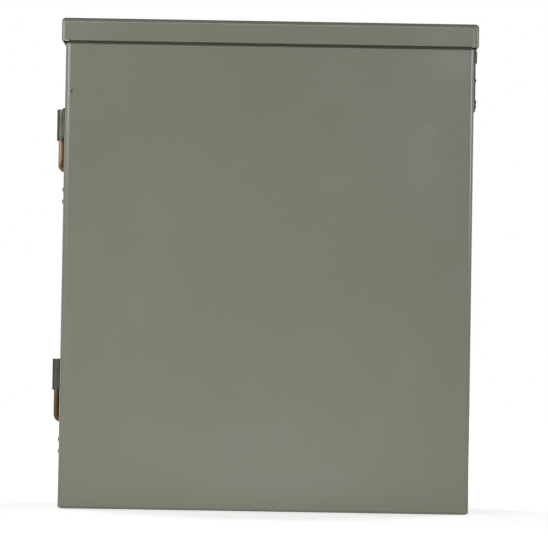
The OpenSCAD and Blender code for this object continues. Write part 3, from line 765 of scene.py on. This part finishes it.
def make_hood_seams(material):
    """Welded and ground seams of the hood's corner tabs, one at the end of each side of the skirt."""
    middle = (hood_low + hood_high) / 2
    half = (hood_high - hood_low) / 2
    foot_z = hood_low.z + SEAM_FOOT_GAP
    bend_z = hood_high.z - HOOD_EDGE_R
    path = [(0.0, foot_z + (bend_z - foot_z) * n / SEAM_STEPS) for n in range(SEAM_STEPS)]
    path += [(math.radians(SEAM_BEND_DEG * n), bend_z) for n in range(SEAM_STEPS + 1)]
    turns = [2 * math.pi * i / SEAM_SEGMENTS for i in range(SEAM_SEGMENTS)]
    meshes = []
    for quarter in range(4):
        turn = Matrix.Rotation(quarter * math.pi / 2, 3, "Z")
        out = turn @ Vector((0, -1, 0))
        along = turn @ Vector((1, 0, 0))
        half_out, half_along = (half.y, half.x) if quarter % 2 == 0 else (half.x, half.y)
        foot = middle + along * (half_along - SEAM_INSET) + out * (half_out - HOOD_EDGE_R)
        rings = []
        for n, (lean, z) in enumerate(path):
            away = out * math.cos(lean) + UP * math.sin(lean)
            centre = Vector((foot.x, foot.y, z)) + away * HOOD_EDGE_R - away * SEAM_SUNK
            change = SEAM_CHANGE * math.sin(SEAM_CHANGE_STEP * n + SEAM_CHANGE_TURN * quarter)
            height = SEAM_BEAD_R * (1 + change)
            width = SEAM_FLATNESS * height
            rings.append([
                centre + along * width * math.cos(t) + away * height * math.sin(t) for t in turns
            ])
        meshes.append(ring_mesh("seam", rings, Matrix.Identity(4)))
    piece("hood_corner_seams", meshes, material, "cabinet", SEAM_SMOOTH_DEG)


def dress_solids():
    """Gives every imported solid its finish, and makes the pieces that replace solids or stand on them."""
    door_smudges_and_sheen = on_face(DOOR_SMUDGES_AND_SHEEN, DOOR_FACE_Y, SMUDGE_AND_SHEEN_DEPTH)
    door_chips = on_face(DOOR_CHIPS, DOOR_FACE_Y, CHIP_DEPTH)
    hood_smudges_and_sheen = on_face(HOOD_SMUDGES_AND_SHEEN, HOOD_FACE_Y, SMUDGE_AND_SHEEN_DEPTH)
    by_slot = {
        "paint": paint_material("powder_coat"),
        "panel_paint": panel_paint_material(),
        "zinc": zinc_material(),
        "copper": copper_material("ground_copper", ground_low.z, ground_high.z, *GROUND_DARKENING),
        "dark_steel": dark_steel_material("dark_steel", FULL_HIGHLIGHT),
        "rubber": rubber_material(),
    }
    by_node = {
        "door_panel": paint_material("door_powder_coat", door_smudges_and_sheen, door_chips),
        "drip_hood": paint_material("hood_powder_coat", hood_smudges_and_sheen),
        # The lower knuckle gets a weaker painted highlight
        "lower_hinge_knuckle": dark_steel_material("dark_steel_weak_highlight", WEAK_HIGHLIGHT),
    }
    for name, darkening in PIN_DARKENING.items():
        low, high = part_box(name)
        by_node[name] = copper_material(name + "_copper", low.z, (low.z + high.z) / 2, *darkening)
    for row in frame["record"]["subparts"]:
        material = by_node.get(row["node"], by_slot[row["material_slot"]])
        nodes[row["node"]].material_slots[0].material = material
    make_panel_studs(by_slot["zinc"])
    make_panel_nuts(by_slot["zinc"])
    make_ground_stud(by_slot["copper"])
    make_bumpers(by_slot["rubber"])
    make_spot_welds(by_slot["paint"])
    make_hood_seams(by_node["drip_hood"])


# Floor: its glow for the background's rays near the cabinet and far from it, and its finish
FLOOR_GLOW = 0.54
FLOOR_GLOW_FAR = 1.0
FLOOR_NEAR = 0.35
FLOOR_FAR = 2.2
FLOOR_HALF = 9.0
FLOOR_DROP = 0.2 * MM
FLOOR_TONE_WAVES = 3.0
FLOOR_TONE_BY = 0.01
FLOOR_ROUGHNESS = 0.9
FLOOR_SPECULAR = 0.1


def background_rays(tree):
    """1 for the rays that show the background: from the camera, off gloss or through glass."""
    rays = tree.nodes.new("ShaderNodeLightPath")
    shown = rays.outputs["Is Camera Ray"]
    for name in ("Is Glossy Ray", "Is Transmission Ray"):
        either = tree.nodes.new("ShaderNodeMath")
        either.operation = "MAXIMUM"
        tree.links.new(shown, either.inputs[0])
        tree.links.new(rays.outputs[name], either.inputs[1])
        shown = either.outputs[0]
    return shown


def make_floor():
    """Pale floor that keeps the shadow and turns white away from the cabinet."""
    half = FLOOR_HALF
    points = [(x, y, -FLOOR_DROP) for x, y in ((-half, -half), (half, -half), (half, half), (-half, half))]
    mesh = bpy.data.meshes.new("floor")
    mesh.from_pydata(points, [], [(0, 1, 2, 3)])
    s = Shader("pale_floor")
    tone = s.varied(FLOOR_TONE_WAVES, FLOOR_TONE_BY, detail=3.0)
    s.surface(Base_Color=s.tint(FLOOR, tone), Emission_Color=WHITE)
    s.surface(Roughness=FLOOR_ROUGHNESS, Specular_IOR_Level=FLOOR_SPECULAR)
    glow = s.spread(s.vector("LENGTH", s.place), FLOOR_NEAR, FLOOR_FAR, FLOOR_GLOW, FLOOR_GLOW_FAR)
    s.surface(Emission_Strength=s.maths("MULTIPLY", background_rays(s.tree), glow))
    mesh.materials.append(s.material)
    floor = bpy.data.objects.new("floor", mesh)
    scene.collection.objects.link(floor)


# World: its light on the object, and the share of it overhead, between two heights of direction
WORLD_LIGHT = 0.26
WORLD_TOP_SHARE = 0.35
WORLD_TOP_FROM = 0.15
WORLD_TOP_TO = 0.75


def make_world():
    """White background, and an even, weaker light from all round that falls off overhead."""
    world = bpy.data.worlds.new("studio")
    world.use_nodes = True
    scene.world = world
    tree = world.node_tree
    light = tree.nodes["Background"]
    light.inputs["Color"].default_value = (*WHITE, 1)
    level = tree.nodes.new("ShaderNodeMapRange")
    level.inputs["To Min"].default_value = WORLD_LIGHT
    level.inputs["To Max"].default_value = 1.0
    tree.links.new(background_rays(tree), level.inputs["Value"])
    way = tree.nodes.new("ShaderNodeSeparateXYZ")
    tree.links.new(tree.nodes.new("ShaderNodeTexCoord").outputs["Generated"], way.inputs[0])
    overhead = tree.nodes.new("ShaderNodeMapRange")
    overhead.interpolation_type = "SMOOTHSTEP"
    overhead.inputs["From Min"].default_value = WORLD_TOP_FROM
    overhead.inputs["From Max"].default_value = WORLD_TOP_TO
    overhead.inputs["To Min"].default_value = 1.0
    overhead.inputs["To Max"].default_value = WORLD_TOP_SHARE
    tree.links.new(way.outputs["Z"], overhead.inputs["Value"])
    dimmed = tree.nodes.new("ShaderNodeMath")
    dimmed.operation = "MULTIPLY"
    tree.links.new(level.outputs[0], dimmed.inputs[0])
    tree.links.new(overhead.outputs[0], dimmed.inputs[1])
    shown = tree.nodes.new("ShaderNodeMath")
    shown.operation = "MAXIMUM"
    tree.links.new(tree.nodes.new("ShaderNodeLightPath").outputs["Is Camera Ray"], shown.inputs[0])
    tree.links.new(dimmed.outputs[0], shown.inputs[1])
    tree.links.new(shown.outputs[0], light.inputs["Strength"])


# Lamps: name, place, width, height, radiance and colour
WARM_WHITE = (1.0, 0.99, 0.96)
COOL_WHITE = (0.96, 0.98, 1.0)
SOFT_WHITE = (1.0, 1.0, 0.98)
SHINING_LAMPS = [
    ("key_left", (-1.95, -1.9, 0.92), 2.4, 0.5, 5.3, WARM_WHITE),
    ("key_right", (2.45, -1.2, 0.76), 1.2, 0.5, 6.5, COOL_WHITE),
    ("front_fill", (-0.3, -3.0, 2.1), 1.6, 0.7, 3.3, SOFT_WHITE),
]
FOOT_LAMP = ("low_fill", (-0.04, -0.56, 0.04), 0.5, 0.06, 5.6, SOFT_WHITE)
FOOT_LAMP_AIM = (-0.03, cad_low.y, 0.06)
PLAIN_LAMPS = [
    ("level_fill", (-1.3, -3.1, 0.25), 1.2, 0.5, 9.6, SOFT_WHITE),
    ("back_left", (-2.0, 1.8, 2.2), 1.4, 1.4, 5.8, WHITE),
    ("back_right", (2.0, 1.8, 2.2), 1.4, 1.4, 5.8, WHITE),
]


def softbox(name, place, width, height, radiance, colour, aim):
    """Rectangular soft lamp that faces a point."""
    lamp = bpy.data.lights.new(name, "AREA")
    lamp.shape = "RECTANGLE"
    lamp.size = width
    lamp.size_y = height
    lamp.energy = radiance * math.pi * width * height
    lamp.color = colour
    made = bpy.data.objects.new(name, lamp)
    made.location = place
    made.rotation_euler = (Vector(aim) - Vector(place)).to_track_quat("-Z", "Y").to_euler()
    made.visible_camera = False
    scene.collection.objects.link(made)
    return made


def make_lamps():
    """Soft lamps at both sides and above the camera, and fills that the paint doesn't mirror.

    The fills stand low before the foot of the door, about level in front, and behind.
    """
    middle = (cad_low + cad_high) / 2
    for lamp in SHINING_LAMPS:
        softbox(*lamp, middle)
    fills = [softbox(*FOOT_LAMP, FOOT_LAMP_AIM)]
    fills += [softbox(*lamp, middle) for lamp in PLAIN_LAMPS]
    for fill in fills:
        fill.visible_glossy = False


# Camera: found from the cabinet's edges in the photograph's frame of 548 by 557 pixels
IMAGE_W = 548
FOCAL_PX = 2820.3
OFFSET_PX = 7.45
CAMERA_AWAY = 3.5
CAMERA_Z = 0.1670
CAMERA_PITCH = math.radians(2.0)
CAMERA_ROLL = math.radians(0.944)
SENSOR_W = 36.0


def make_camera():
    """Camera in front of the door, turned a little up, to the right and on its axis."""
    yaw = math.atan(OFFSET_PX / FOCAL_PX)
    ahead = Vector((
        math.sin(yaw) * math.cos(CAMERA_PITCH),
        math.cos(yaw) * math.cos(CAMERA_PITCH),
        math.sin(CAMERA_PITCH),
    ))
    level = ahead.cross(UP).normalized()
    upright = level.cross(ahead)
    right = level * math.cos(CAMERA_ROLL) + upright * math.sin(CAMERA_ROLL)
    up = upright * math.cos(CAMERA_ROLL) - level * math.sin(CAMERA_ROLL)
    data = bpy.data.cameras.new("camera")
    data.sensor_fit = "HORIZONTAL"
    data.sensor_width = SENSOR_W
    data.lens = SENSOR_W * FOCAL_PX / IMAGE_W
    camera = bpy.data.objects.new("camera", data)
    turn = Matrix((right, up, -ahead)).transposed().to_4x4()
    camera.matrix_world = Matrix.Translation((0, DOOR_FACE_Y - CAMERA_AWAY, CAMERA_Z)) @ turn
    scene.collection.objects.link(camera)
    scene.camera = camera


dress_solids()
make_floor()
make_world()
make_lamps()
make_camera()
scene.view_settings.view_transform = "Standard"
